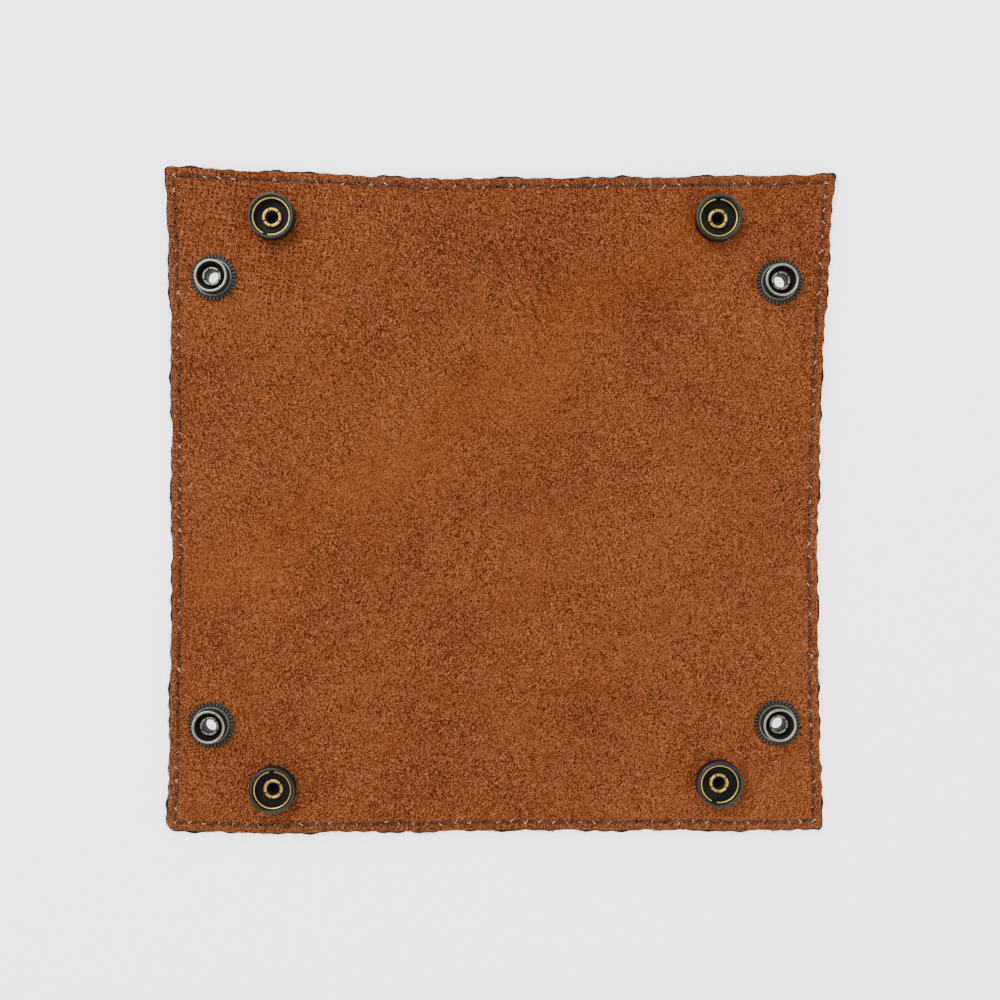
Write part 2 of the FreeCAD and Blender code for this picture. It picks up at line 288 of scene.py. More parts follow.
def table_top():
    """Flat pale sheet, far wider than the tray, lit a little from within."""
    mesh = bpy.data.meshes.new("table_top")
    low = cad_low[2] - TABLE_GAP
    turns = ((-1, -1), (1, -1), (1, 1), (-1, 1))
    corners = [(x * TABLE_REACH, y * TABLE_REACH, low) for x, y in turns]
    mesh.from_pydata(corners, [], [(0, 1, 2, 3)])
    table = bpy.data.objects.new("table_top", mesh)
    bpy.context.scene.collection.objects.link(table)
    finish = Finish("table_white")
    finish.set(Base_Color=(0.9, 0.9, 0.9, 1.0), Roughness=0.8, Emission_Strength=2.2)
    finish.set(Emission_Color=(1.0, 1.0, 1.0, 1.0))
    mesh.materials.append(finish.material)


table_top()

# Leather ----------------------------------------------------------------------------
# One square of pebbled, dull cowhide, 1.2 mm thick, cut by hand, so that its sides bow
# a little and its edge is raw. It is one sheet; here it is built as the pieces that
# lie between its creases, which share their edges and bend over into each other.

near = abs(joints["pinch_front_left"]["pos_m"][0])
far = abs(joints["fold_front"]["pos_m"][1])
ear_length = half_side - near
wall_height = half_side - far
spine_half = (ear_length - wall_height) / math.sqrt(2)
leather_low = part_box("leather_floor")[0][2]
lining_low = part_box("lining_floor")[0][2]

FLOOR_BEND = (5.0 * MM, 9.0 * MM)
PINCH_BEND = (3.4 * MM, 8.0 * MM)
SPINE_BEND = (spine_half, 6.0 * MM)


def ease(x):
    """Smooth step: 3x^2 - 2x^3 with x held between 0 and 1."""
    x = np.clip(x, 0.0, 1.0)
    return x * x * (3 - 2 * x)


def bend_reach(distance, bend):
    """Half the width of a bend, at a distance from the corner where creases meet:
    nothing at the corner, then growing to its full width as a hyperbolic tangent."""
    full, run = bend
    return full * np.tanh(np.maximum(distance, 0.0) / run)


def bent(across, reach):
    """Share of a fold taken up at a signed distance across its crease."""
    reach = np.maximum(reach, 0.001 * MM)
    return ease((across + reach) / (2 * reach))


def outline(along, side):
    """How far the cut edge stands outside the true square, in metres: a parabola for
    each side, a few soft bulges and dents where the knife strayed, and the wobble of
    a hand-held knife as a sum of sines."""
    a = along / MM
    base, slope, curve, phase, strays = {
        "right": (-2.5, 0.018, 3.4e-4, 0.0, [(-95, 8, -0.5)]),
        "left": (-1.25, 0.003, 1.6e-4, 1.7, [(54, 10, -0.5), (-78, 25, 0.2)]),
        "back": (-1.5, -0.011, 2.0e-4, 3.1, [(-18, 16, -0.75), (-96, 10, 0.4), (67, 9, 0.4)]),
        "front": (-0.1, -0.0015, -0.6e-4, 4.4, [(-70, 28, 0.8), (20, 30, -0.25), (75, 25, 0.2)]),
    }[side]
    strayed = sum(depth * np.exp(-(((a - middle) / width) ** 2)) for middle, width, depth in strays)
    wobble = (
        0.13 * np.sin(a / 8.3 + phase) + 0.09 * np.sin(a / 2.9 + 2 * phase)
        + 0.05 * np.sin(a / 1.31 + 3 * phase) + 0.05 * np.sin(a / 0.77 + 5 * phase)
    )
    return (base + slope * a + curve * a * a + strayed + wobble) * MM


CORNER_ROUND = 1.7 * MM
FADE_FROM = half_side - 13 * MM
FADE_TO = half_side - 4 * MM


def warped(plan, spread=0.0):
    """Points of the true square moved so that its edge lies on the real outline. Each
    corner is first rounded, by drawing its little squares in to circles about one
    centre. The move out to the outline fades to nothing inside the press-studs;
    spread widens the whole outline, unevenly, by two slow sines."""
    over = np.maximum(np.abs(plan) - (half_side - CORNER_ROUND), 0.0)
    square = np.max(over, -1)
    round_share = square / np.maximum(np.hypot(over[..., 0], over[..., 1]), 1e-9)
    in_corner = (np.min(over, -1) > 0)[..., None]
    drawn = plan - np.sign(plan) * over * (1 - round_share[..., None])
    x, y = np.moveaxis(np.where(in_corner, drawn, plan), -1, 0)

    def pull(across, along, low_side, high_side):
        """The outline's move at the nearer of two sides, times a share that eases
        from 0 inside the press-studs to 1 near the edge."""
        share = ease((np.abs(across) - FADE_FROM) / (FADE_TO - FADE_FROM))
        uneven = spread * (
            1 + 0.45 * np.sin(along / MM / 5.1 + 1) + 0.4 * np.sin(along / MM / 1.9)
            + 0.35 * np.sin(along / MM / 0.83 + np.sin(along / MM / 11)))
        high = outline(along, high_side) + uneven
        low = -outline(along, low_side) - uneven
        return share * np.where(across > 0, high, low)

    return np.stack([x + pull(x, y, "left", "right"), y + pull(y, x, "front", "back")], -1)


SAG_DEPTH = 0.75
SAG_RADIUS = 72
STILL_RADIUS = 6
STILL_FADE = 14


def relief(plan):
    """Height of the sheet over its plain: it sags by three quarters of a millimetre
    between the caps, eased out with the distance from its middle, and has slow waves,
    products of sines, that fade out round the press-studs."""
    x, y = plan[..., 0] / MM, plan[..., 1] / MM
    sag = -SAG_DEPTH * ease(1.25 - np.hypot(x, y) / SAG_RADIUS)
    waves = (
        0.16 * np.sin(x / 17 + 0.6 * np.sin(y / 23)) * np.cos(y / 21 + 0.8)
        + 0.08 * np.sin((x + y) / 9.5 + 1.2) * np.sin((x - 1.3 * y) / 12)
    )
    still = np.ones_like(x)
    for snap_x, snap_y in snap_centres / MM:
        away = np.hypot(x - snap_x, y - snap_y)
        still = still * ease((away - STILL_RADIUS) / STILL_FADE)
    return (sag + waves * still) * MM


def centre_of(node):
    """Middle of a node's box, seen from above."""
    low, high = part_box(node)
    return ((low[0] + high[0]) / 2, (low[1] + high[1]) / 2)


CORNERS = {
    "front_left": (-1, -1), "front_right": (1, -1),
    "back_left": (-1, 1), "back_right": (1, 1),
}
socket_at = {c: centre_of("socket_shell_" + c) for c in CORNERS}
stud_at = {c: centre_of("eyelet_" + c) for c in CORNERS}
snap_centres = np.array(list(socket_at.values()) + list(stud_at.values()))

# Distances in from the cut edge at which rows lie: close together where it is rounded
edge_rows = np.array([0.0, 0.12, 0.3, 0.6, 1.1, 1.8, 2.3, 2.7, 3.2, 4.0]) * MM
inner_rows = np.linspace(5.2 * MM, wall_height - 3 * MM, 28)
apex_rows = wall_height - np.array([2.2, 1.4, 0.7, 0.25, 0.0]) * MM
from_edge = np.concatenate([edge_rows, inner_rows, apex_rows])[::-1]


SEAM_INSET = 2.5 * MM
SEAM_DIP_WIDTH = 0.55 * MM
EDGE_DIP_WIDTH = 0.22 * MM


def layered(plan, low, high, spread, belly, hang):
    """Points of a layer's face and of its underside, on the same plan. The face is
    lifted by belly along the seam and lowered by hang at the cut edge, both as a
    bell curve of the distance in from the edge."""
    flat = warped(plan, spread)
    in_from_edge = half_side - np.max(np.abs(plan), -1)
    seam = np.exp(-(((in_from_edge - SEAM_INSET) / SEAM_DIP_WIDTH) ** 2))
    lift = relief(plan) + belly * seam
    rounded = hang * np.exp(-((in_from_edge / EDGE_DIP_WIDTH) ** 2))
    upper = np.concatenate([flat, (high + lift - rounded)[..., None]], -1)
    lower = np.concatenate([flat, (low + relief(plan))[..., None]], -1)
    return upper, lower


def ring_of(rows, columns):
    """Indexes of a grid's edge points, once round."""
    grid = np.arange(rows * columns).reshape(rows, columns)
    return np.concatenate([grid[0, :-1], grid[:-1, -1], grid[-1, :0:-1], grid[:0:-1, 0]])


CUT_REACH = 3.4 * MM
CORNER_REACH = 4 * MM
WELD = 0.002 * MM


def slab_mesh(name, upper, lower, bulge):
    """A closed layer from a grid of upper points and one of lower points: both faces,
    and an edge wall with one row of points half way that bulges outwards."""
    rows, columns = upper.shape[:2]
    count = rows * columns
    grid = np.arange(count).reshape(rows, columns)
    quads = np.stack([grid[:-1, :-1], grid[:-1, 1:], grid[1:, 1:], grid[1:, :-1]], -1)
    quads = quads.reshape(-1, 4)
    ring = ring_of(rows, columns)
    after = np.roll(ring, -1)
    middle = np.arange(len(ring)) + 2 * count
    middle_after = np.roll(middle, -1)
    top = upper.reshape(-1, 3)
    low = lower.reshape(-1, 3)
    rim = top[ring, :2]
    cut = half_side - np.max(np.abs(rim), -1) < CUT_REACH
    waist = (top[ring] + low[ring]) / 2
    outward = np.where(np.abs(rim) > half_side - CORNER_REACH, np.sign(rim), 0.0)
    waist[:, :2] += outward * np.where(cut, bulge, 0.0)[:, None]
    faces = np.concatenate([
        quads,
        quads[:, ::-1] + count,
        np.stack([after, ring, middle, middle_after], -1),
        np.stack([middle_after, middle, ring + count, after + count], -1),
    ])
    mesh = bpy.data.meshes.new(name)
    mesh.from_pydata(np.concatenate([top, low, waist]).tolist(), [], faces.tolist())
    tidy = bmesh.new()
    tidy.from_mesh(mesh)
    bmesh.ops.remove_doubles(tidy, verts=tidy.verts, dist=WELD)
    bmesh.ops.recalc_face_normals(tidy, faces=tidy.faces)
    tidy.to_mesh(mesh)
    tidy.free()
    return mesh


SHARP_ANGLE = math.radians(48)


def show(mesh, material):
    """A piece of the tray from a mesh, smooth but for its sharp corners."""
    piece = bpy.data.objects.new(mesh.name, mesh)
    bpy.context.scene.collection.objects.link(piece)
    mesh.materials.append(material)
    mesh.shade_smooth()
    mesh.set_sharp_from_angle(angle=SHARP_ANGLE)
    return piece


def vertex_places(mesh):
    """Every point of a mesh, as rows of three."""
    places = np.empty(len(mesh.vertices) * 3)
    mesh.vertices.foreach_get("co", places)
    return places.reshape(-1, 3)


def pattern_places(mesh, side):
    """Store what the finishes read: each point's place on the flat tray, and its place
    along the nearest seam and its distance in from the cut edge."""
    places = vertex_places(mesh)
    stored = mesh.attributes.new("flat_place", "FLOAT_VECTOR", "POINT")
    stored.data.foreach_set("vector", places.astype(np.float32).ravel())
    sign = 1 if side in ("right", "back") else -1
    across, along = (0, 1) if side in ("left", "right") else (1, 0)
    inset = half_side + outline(places[:, along], side) - sign * places[:, across]
    seam = np.stack([places[:, along], inset, np.zeros(len(places))], -1)
    stored = mesh.attributes.new("seam_place", "FLOAT_VECTOR", "POINT")
    stored.data.foreach_set("vector", seam.astype(np.float32).ravel())


def bend_over(piece, first, second, share):
    """The piece follows the first body where share is 0, the second where it is 1."""
    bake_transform(piece, first, second, start=(0.0, 0.0, 0.0), end=(1.0, 0.0, 0.0))
    stored = piece.data.attributes["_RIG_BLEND"]
    stored.data.foreach_set("value", share(vertex_places(piece.data)).astype(np.float32))


OUTWARDS = {"front": (0, -1), "back": (0, 1), "left": (-1, 0), "right": (1, 0)}


def side_axes(side):
    """Unit vectors along a side, anticlockwise round the tray, and out from it."""
    out = np.array(OUTWARDS[side], float)
    return np.array([-out[1], out[0]]), out


def side_share(side):
    """Fold share between floor and wall, from a point's place."""
    along, out = side_axes(side)

    def share(places):
        """Half at the crease, eased over the width that the bend has there."""
        a = places[:, :2] @ along
        o = places[:, :2] @ out
        return bent(o - far, bend_reach(near - np.abs(a), FLOOR_BEND))

    return share


SIDE_COLUMNS = 93
FLOOR_BEND_ROWS = 5


def side_plan(side):
    """Plan grid of a wall with the strip of floor that bends up into it."""
    along, out = side_axes(side)
    across = np.linspace(-1, 1, SIDE_COLUMNS)
    a_floor = near * across
    reach = bend_reach(near - np.abs(a_floor), FLOOR_BEND)
    steps = np.linspace(0, 1, FLOOR_BEND_ROWS + 1)[:-1]
    rows = [(a_floor, far - reach * (1 - t)) for t in steps]
    for inset in from_edge:
        inwards = wall_height - inset
        cut_back = bend_reach(inwards, PINCH_BEND) if side in ("front", "back") else 0.0
        rows.append(((near - cut_back) * across, np.full_like(across, half_side - inset)))
    a = np.array([r[0] for r in rows])
    o = np.array([r[1] for r in rows])
    return a[..., None] * along + o[..., None] * out


def corner_curves():
    """The lines that divide a corner, in its own axes: u along the front or back edge
    and v in from it. Each is a row of (u, v), one for each distance from the edge. A
    bend's far line leaves its crease by the bend's half width at that point of the
    crease, which is found by looking its drop up in a table of tried runs."""
    v = from_edge
    down = wall_height - v
    wall_line = np.stack([ear_length + bend_reach(down, PINCH_BEND), v], -1)
    crease = np.stack([np.full_like(v, ear_length), v], -1)
    tried = np.linspace(0, 1.2 * wall_height, 400)
    reach = bend_reach(tried * math.sqrt(2), SPINE_BEND)
    drop = tried + reach / math.sqrt(2)
    run = np.interp(down, drop, tried)
    offset = bend_reach(run * math.sqrt(2), SPINE_BEND) / math.sqrt(2)
    ear_line = np.stack([ear_length - run + offset, v], -1)
    middle = (ear_length + wall_height) / 2 * (1 - down / wall_height)
    spine_line = np.stack([middle, middle], -1)
    return wall_line, crease, ear_line, spine_line


def ruled(first, second, shares):
    """Straight lines from each point of one curve to the same point of another."""
    return first[:, None] + (second - first)[:, None] * shares[None, :, None]


wall_line, pinch_line, ear_line, spine_line = corner_curves()
PINCH_COLUMNS = 6
EAR_COLUMNS = 34
SPINE_COLUMNS = 10


def corner_pieces(corner):
    """Plan grids of a corner's three pieces, their sides, bodies and fold shares: the
    socket's ear with the end of its wall, the first half of the spine's bend, and the
    second half with the stud's ear."""
    sx, sy = CORNERS[corner]
    x_side = "left" if sx < 0 else "right"
    y_side = "front" if sy < 0 else "back"

    def laid(uv, swap=False):
        """From the corner's own axes to the tray's; swap mirrors about the diagonal."""
        u, v = (uv[..., 1], uv[..., 0]) if swap else (uv[..., 0], uv[..., 1])
        return np.stack([sx * (half_side - u), sy * (half_side - v)], -1)

    def own(places, swap=False):
        """From the tray's axes back to the corner's own."""
        u = half_side - sx * places[:, 0]
        v = half_side - sy * places[:, 1]
        return (v, u) if swap else (u, v)

    def pinch_share(places):
        """Share of the pinch: by the distance across its crease, along u."""
        u, v = own(places)
        return bent(ear_length - u, bend_reach(wall_height - v, PINCH_BEND))

    def spine_share(swap):
        """Share of a spine crease: by the distance across it, along the diagonal."""
        def share(places):
            """Eased over the bend's width at the point's run along the diagonal."""
            u, v = own(places, swap)
            across = (u - v) / math.sqrt(2)
            run = (ear_length + wall_height - u - v) / math.sqrt(2)
            return bent(spine_half - across, bend_reach(run, SPINE_BEND))
        return share

    pinch_steps = np.linspace(0, 1, PINCH_COLUMNS + 1)[:-1]
    ear_steps = np.linspace(0, 1, EAR_COLUMNS)
    spine_steps = np.linspace(0, 1, SPINE_COLUMNS)
    ear_grid = np.concatenate(
        [ruled(wall_line, pinch_line, pinch_steps), ruled(pinch_line, ear_line, ear_steps)], 1)
    bend_grid = ruled(ear_line, spine_line, spine_steps)
    far_grid = np.concatenate(
        [ruled(spine_line, ear_line, spine_steps[:-1]), ruled(ear_line, pinch_line, ear_steps)], 1)
    return [
        ("ear_socket_" + corner, laid(ear_grid), y_side,
         ("wall_" + y_side, "socket_ear_" + corner), pinch_share, socket_at[corner]),
        ("spine_bend_" + corner, laid(bend_grid), y_side,
         ("socket_ear_" + corner, "spine_" + corner), spine_share(False), None),
        ("ear_stud_" + corner, laid(far_grid, True), x_side,
         ("spine_" + corner, "stud_ear_" + corner),
         lambda places: 1 - spine_share(True)(places), stud_at[corner]),
    ]


CHAMFER_ROWS = 3


def floor_plan():
    """Plan grid of the floor inside its bends: a Coons patch, which fills the space
    between four curves with the sum of both ways across less the flat in between."""
    a = near * np.linspace(-1, 1, SIDE_COLUMNS)
    reach = bend_reach(near - np.abs(a), FLOOR_BEND)
    top = np.stack([a, far - reach], -1)
    side = np.stack([far - reach, a], -1)
    slant = (far - near) * np.linspace(0, 1, CHAMFER_ROWS + 1)
    chamfer_low = np.stack([near + slant, -far + slant], -1)[:-1]
    chamfer_high = np.stack([far - slant, near + slant], -1)[1:]
    right = np.concatenate([chamfer_low, side, chamfer_high])
    left = right * (-1, 1)
    bottom = top * (1, -1)
    s = np.linspace(0, 1, len(a))[None, :, None]
    t = np.interp(right[:, 1], (-far, far), (0, 1))[:, None, None]
    ruled_up = bottom[None] * (1 - t) + top[None] * t
    ruled_over = left[:, None] * (1 - s) + right[:, None] * s
    p00, p10, p01, p11 = bottom[0], bottom[-1], top[0], top[-1]
    flat = p00 * (1 - s) * (1 - t) + p10 * s * (1 - t) + p01 * (1 - s) * t + p11 * s * t
    return ruled_up + ruled_over - flat


HOLE_RADIUS = 2.45 * MM
RIM_POINTS = 48
PUNCH_REACH = 3 * MM


def punched(mesh, place, radius):
    """The same mesh with a round hole cut through it: less a prism of many sides that
    reaches past both faces."""
    piece = bpy.data.objects.new("punching", mesh)
    bpy.context.scene.collection.objects.link(piece)
    cutter_mesh = bpy.data.meshes.new("punch")
    around = np.linspace(0, 2 * math.pi, RIM_POINTS + 1)[:-1]
    rim = np.stack([place[0] + radius * np.cos(around), place[1] + radius * np.sin(around)], -1)
    levels = (lining_low - PUNCH_REACH, leather_top + PUNCH_REACH)
    points = np.concatenate([np.c_[rim, np.full(RIM_POINTS, z)] for z in levels])
    i = np.arange(RIM_POINTS)
    above = i + RIM_POINTS
    walls = np.stack([i, np.roll(i, -1), np.roll(above, -1), above], -1).tolist()
    cutter_mesh.from_pydata(points.tolist(), [], walls + [i[::-1].tolist(), above.tolist()])
    cutter = bpy.data.objects.new("punch", cutter_mesh)
    bpy.context.scene.collection.objects.link(cutter)
    cut = piece.modifiers.new("cut", "BOOLEAN")
    cut.operation = "DIFFERENCE"
    cut.solver = "EXACT"
    cut.object = cutter
    depsgraph = bpy.context.evaluated_depsgraph_get()
    result = bpy.data.meshes.new_from_object(piece.evaluated_get(depsgraph))
    name = mesh.name
    bpy.data.objects.remove(piece)
    bpy.data.objects.remove(cutter)
    bpy.data.meshes.remove(mesh)
    result.name = name
    return result


# Name, plan grid, nearest side, bodies, fold share and hole of every piece of a layer
sheet_pieces = [("floor", floor_plan(), "back", ("floor",), None, None)]
for side in OUTWARDS:
    sheet_pieces.append(
        ("wall_" + side, side_plan(side), side, ("floor", "wall_" + side), side_share(side), None))
for corner in CORNERS:
    sheet_pieces += corner_pieces(corner)


LEATHER_DARK = (0.070, 0.0092, 0.0004)
LEATHER_MID = (0.225, 0.0440, 0.0045)
LEATHER_LIGHT = (0.440, 0.1350, 0.0400)
LEATHER_RED = (0.200, 0.0330, 0.0040)
# Painted shadow along the seam, under and beside the thread
SEAM_SHADOW = (0.10, 0.025, 0.008)
# Painted shade: near-black colour inside the needle holes
NEEDLE_HOLE_SHADE = (0.012, 0.005, 0.003)
CUT_FIBRE_DARK = (0.07, 0.028, 0.012)
CUT_FIBRE_PALE = (0.28, 0.16, 0.085)
STITCHES_PER_SIDE = 46
STITCH_PITCH = (2 * half_side - 2 * SEAM_INSET) / STITCHES_PER_SIDE
LEFT_PULL = -1.05
RIGHT_PULL = 1.05
DARK_SPOT = (50.0, 60.0, 3.0)
GRAIN_DEPTH = 0.34 * MM
NAP_DEPTH = 0.10 * MM


def leather_finish():
    """Dull tan cowhide. Dark worm-like wrinkles of the grain are the places where a
    noise crosses its middle; over them lie fine nap, patches of tone, a cross-hatched
    patch at one corner, a few long wrinkles, painted shadow along the seam, painted
    shade in the needle holes and the raw edge. All lengths are in millimetres; the sum
    of it all is a tone that picks the colour."""
    f = Finish("tan_leather")
    place = f.place()
    x, y, _ = f.split(place)
    along, inset, _ = f.split(f.scaled(f.attribute("seam_place", "Vector"), 1 / MM))
    bending = f.node("ShaderNodeTexNoise", None, "Color", Vector=place, Scale=0.45, Detail=1.0)

    def drawn(angle):
        """Worms and pits of the grain, drawn out by more than half in one direction."""
        laid = f.node("ShaderNodeMapping", {"vector_type": "TEXTURE"}, Vector=place,
                      Rotation=(0.0, 0.0, angle), Scale=(1.6, 1.0, 1.0))
        laid = f.vector("ADD", laid, f.scaled(bending, 0.9))
        worms = (f.noise(laid, 1.9, 1.0, 0.5) - 0.5).size().ramp(0.0, 0.10)
        return 0.62 * worms + 0.38 * f.noise(laid, 2.8, 2.0, 0.6).ramp(0.36, 0.60)

    pulled = (0.75 * y - 0.55 * x + 40 * (f.noise(place, 0.03, 1.0) - 0.5)).ramp(5.0, 50.0)
    skin = drawn(LEFT_PULL) * pulled + drawn(RIGHT_PULL) * (1 - pulled)
    nap = f.noise(place, 3.4, 2.0, 0.65)
    broad = f.noise(place, 0.028, 2.0, 0.5)
    mottle = f.noise(place, 0.11, 2.0, 0.5)

    hatch_place = f.vector("ADD", place, f.scaled(bending, 1.3))
    hatch_x, hatch_y, _ = f.split(
        f.node("ShaderNodeMapping", None, Vector=hatch_place, Rotation=(0.0, 0.0, 0.16)))
    threads = (1 - hatch_x.wrap(1.7).size().ramp(0.1, 0.5)).at_least(
        1 - hatch_y.wrap(1.55).size().ramp(0.1, 0.45))
    hatched = (1 - (x + 74).size().ramp(14, 36)) * (1 - (y - 78).size().ramp(14, 36))
    hatched = hatched * f.noise(place, 0.12, 2.0).ramp(0.3, 0.55)

    crease_x = x + 6 * f.noise(place, 0.16, 2.0)
    creases = 1 - (crease_x + 0.45 * y).wrap(3.4).size().ramp(0.05, 0.5)
    creased = (1 - (x - 9).size().ramp(5, 12)) * (1 - (y - 65).size().ramp(9, 18))

    grain = 1.25 * skin + 0.25 * nap - 0.22
    grain = grain - 0.22 * creases * creased + 0.40 * threads * hatched - 0.16 * hatched
    tone = grain + 0.42 * (broad - 0.5) + 0.24 * (mottle - 0.5)
    tone = tone - 0.07 * y.ramp(45, 95) + 0.05 * x.ramp(30, 95)
    dark_patch = 1 - f.vector("LENGTH", f.vector("SUBTRACT", place, DARK_SPOT)).ramp(3, 14)
    tone = tone - 0.10 * dark_patch
    colour = f.blend(tone.ramp(0.12, 0.62), LEATHER_DARK, LEATHER_MID)
    colour = f.blend(tone.ramp(0.50, 1.02), colour, LEATHER_LIGHT)
    colour = f.blend(mottle.ramp(0.48, 0.8) * 0.35, colour, LEATHER_RED)

    hole_along = (along + half_side / MM - SEAM_INSET / MM).wrap(STITCH_PITCH / MM)
    from_seam = inset - SEAM_INSET / MM
    hole = f.vector("LENGTH", f.node(
        "ShaderNodeCombineXYZ", None, X=hole_along * 0.8, Y=from_seam))
    hole_dark = 1 - hole.ramp(0.22, 0.55)
    # Painted shadow: the band along the seam line is darkened, as the thread and its groove shade it
    seam_shade = (1 - from_seam.size().ramp(0.2, 1.0)) * 0.35
    colour = f.blend(seam_shade, colour, SEAM_SHADOW)
    # Painted shade: the needle holes are coloured near-black, as shade inside them
    colour = f.blend(hole_dark * 0.92, colour, NEEDLE_HOLE_SHADE)
    edge = 1 - inset.ramp(0.1, 0.5)
    fibre = f.noise(place, 3.2, 3.0, 0.7).ramp(0.42, 0.62)
    edge_colour = f.blend(fibre, CUT_FIBRE_DARK, CUT_FIBRE_PALE)
    colour = f.blend(edge * 0.5, colour, edge_colour)

    fine = f.bump(nap, NAP_DEPTH)
    normal = f.bump(grain + 0.25 * mottle - 0.8 * hole_dark, GRAIN_DEPTH, fine)
    f.set(Base_Color=colour, Roughness=0.66 - 0.16 * grain + 0.1 * nap, Normal=normal)
    f.shader.inputs["Specular IOR Level"].default_value = 0.14
    return f.material


leather = leather_finish()


NARROWEST = 10 * MM
NARROW_SHARE = 0.35


def flat_measures(plan):
    """Width, length and area of a piece before it was bent: the box round its plan and
    half the sum of its cells' diagonals' cross products. A slanting strip is measured
    along its own length instead, and counts as at least a centimetre wide."""
    size = np.ptp(plan.reshape(-1, 2), axis=0)
    across = plan[1:, 1:] - plan[:-1, :-1]
    over = plan[1:, :-1] - plan[:-1, 1:]
    area = abs(np.sum(across[..., 0] * over[..., 1] - across[..., 1] * over[..., 0]) / 2)
    if area < NARROW_SHARE * size[0] * size[1]:
        run = float(np.hypot(*size))
        size = (max(NARROWEST, area / run), run)
    return (float(size[0]), float(size[1])), float(area)


def lay_sheet(prefix, material, stands_for, shape, bulge):
    """All pieces of one layer of the tray. The shape is its underside's and its face's
    height, how far its edge is spread, and its lifts at the seam and the cut edge."""
    for name, plan, side, bodies, share, hole in sheet_pieces:
        upper, lower = layered(plan, *shape)
        mesh = slab_mesh(prefix + "_" + name, upper, lower, bulge)
        if hole is not None:
            mesh = punched(mesh, hole, HOLE_RADIUS)
        pattern_places(mesh, side)
        piece = show(mesh, material)
        if share is None:
            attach(piece, bodies[0])
        else:
            bend_over(piece, *bodies, share)
        flat, area = flat_measures(plan)
        node = stands_for.get(name)
        if node:
            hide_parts(node)


hide_nodes = {"floor": "leather_floor"}
for side in OUTWARDS:
    hide_nodes["wall_" + side] = "leather_wall_" + side
for corner in CORNERS:
    hide_nodes["ear_socket_" + corner] = "socket_ear_" + corner
    hide_nodes["spine_bend_" + corner] = "corner_spine_" + corner
    hide_nodes["ear_stud_" + corner] = "stud_ear_" + corner
SEAM_DIP = 0.16 * MM
HIDE_EDGE_ROUND = 0.3 * MM
HIDE_BULGE = 0.12 * MM
lay_sheet("hide", leather, hide_nodes,
          (leather_low, leather_top, 0.0, -SEAM_DIP, HIDE_EDGE_ROUND), HIDE_BULGE)

# Lining -----------------------------------------------------------------------------
# A second hide of dark brown suede, glued and sewn under the first. It was cut along
# with it, less neatly, so that its fuzzy edge peeks out by part of a millimetre.


SUEDE_ROOT = (0.022, 0.009, 0.005)
SUEDE_TIP = (0.092, 0.041, 0.022)
SUEDE_BRUSHED = (0.040, 0.017, 0.009)


def suede_finish():
    """Brown suede: short nap that lies in brushed patches, paler fibre tips."""
    f = Finish("brown_suede")
    place = f.place()
    brushed = f.node("ShaderNodeMapping", None, Vector=place, Rotation=(0.0, 0.0, 0.5),
                     Scale=(0.5, 1.4, 1.0))
    strokes = f.noise(brushed, 0.5, 4.0, 0.7)
    patches = f.noise(place, 0.05, 3.0, 0.6)
    tips = f.noise(place, 3.6, 3.0, 0.7)
    colour = f.blend(tips.ramp(0.3, 0.75), SUEDE_ROOT, SUEDE_TIP)
    colour = f.blend(patches.ramp(0.4, 0.7) * 0.4, colour, SUEDE_BRUSHED)
    normal = f.bump(0.5 * tips + 0.5 * strokes, 0.3 * MM)
    f.set(Base_Color=colour, Roughness=0.86 + 0.1 * strokes, Normal=normal)
    f.shader.inputs["Specular IOR Level"].default_value = 0.15
    return f.material


suede_nodes = {"floor": "lining_floor"}
for side in OUTWARDS:
    suede_nodes["wall_" + side] = "lining_wall_" + side
GLUE_GAP = 0.02 * MM
SUEDE_SPREAD = 0.5 * MM
SUEDE_BULGE = 0.18 * MM
lay_sheet("suede", suede_finish(), suede_nodes,
          (lining_low, leather_low - GLUE_GAP, SUEDE_SPREAD, 0.0, 0.0), SUEDE_BULGE)

# Seam -------------------------------------------------------------------------------
# One row of lockstitch, 2.5 mm in from the edge, sewn with a thin two-ply mauve-grey
# thread: long stitches on the face, short loops of the bobbin thread below.


FACE_THREAD = 0.25 * MM
BOBBIN_THREAD = 0.22 * MM
FACE_LENGTH = STITCH_PITCH - 0.2 * MM
BOBBIN_LENGTH = 2.6 * MM


def edge_stretches():
    """The lengths of edge whose stitches and fibres move as one: name, corner started
    from, direction along, direction out, first and last stitch, bodies, fold share,
    and the node that its stitches stand for."""
    stretches = []
    pieces = {name: (bodies, share) for name, _, _, bodies, share, _ in sheet_pieces}
    for side in OUTWARDS:
        along, out = side_axes(side)
        start = (out - along) * half_side
        # The studs' ears lie along the left and right sides, and are a stitch shorter.
        ends = (11, 34) if side in ("front", "back") else (10, 35)
        stretches.append((side, start, along, out, *ends, ("wall_" + side,), None,
                          "thread_wall_" + side))
    for corner, (sx, sy) in CORNERS.items():
        start = np.array([sx, sy]) * half_side
        front = (np.array([-sx, 0.0]), np.array([0.0, sy]))
        flank = (np.array([0.0, -sy]), np.array([sx, 0.0]))
        stretches += [
            ("socket_ear_" + corner, start, *front, 2, 10, *pieces["ear_socket_" + corner],
             "thread_socket_ear_" + corner),
            ("socket_bend_" + corner, start, *front, 0, 1, *pieces["spine_bend_" + corner], None),
            ("stud_bend_" + corner, start, *flank, 0, 1, *pieces["ear_stud_" + corner], None),
            ("stud_ear_" + corner, start, *flank, 2, 9, ("stud_ear_" + corner,), None,
             "thread_stud_ear_" + corner),
        ]
    return stretches


def tube_rings(line, height, girth, turn, across):
    """Rings of points round many lines at once. Each point stands off its line by the
    girth: sideways by its cosine and upwards by its sine."""
    sideways = (girth * np.cos(turn))[..., None] * across
    rings = line[:, :, None] + sideways
    return np.concatenate([rings, (height[:, :, None] + girth * np.sin(turn))[..., None]], -1)


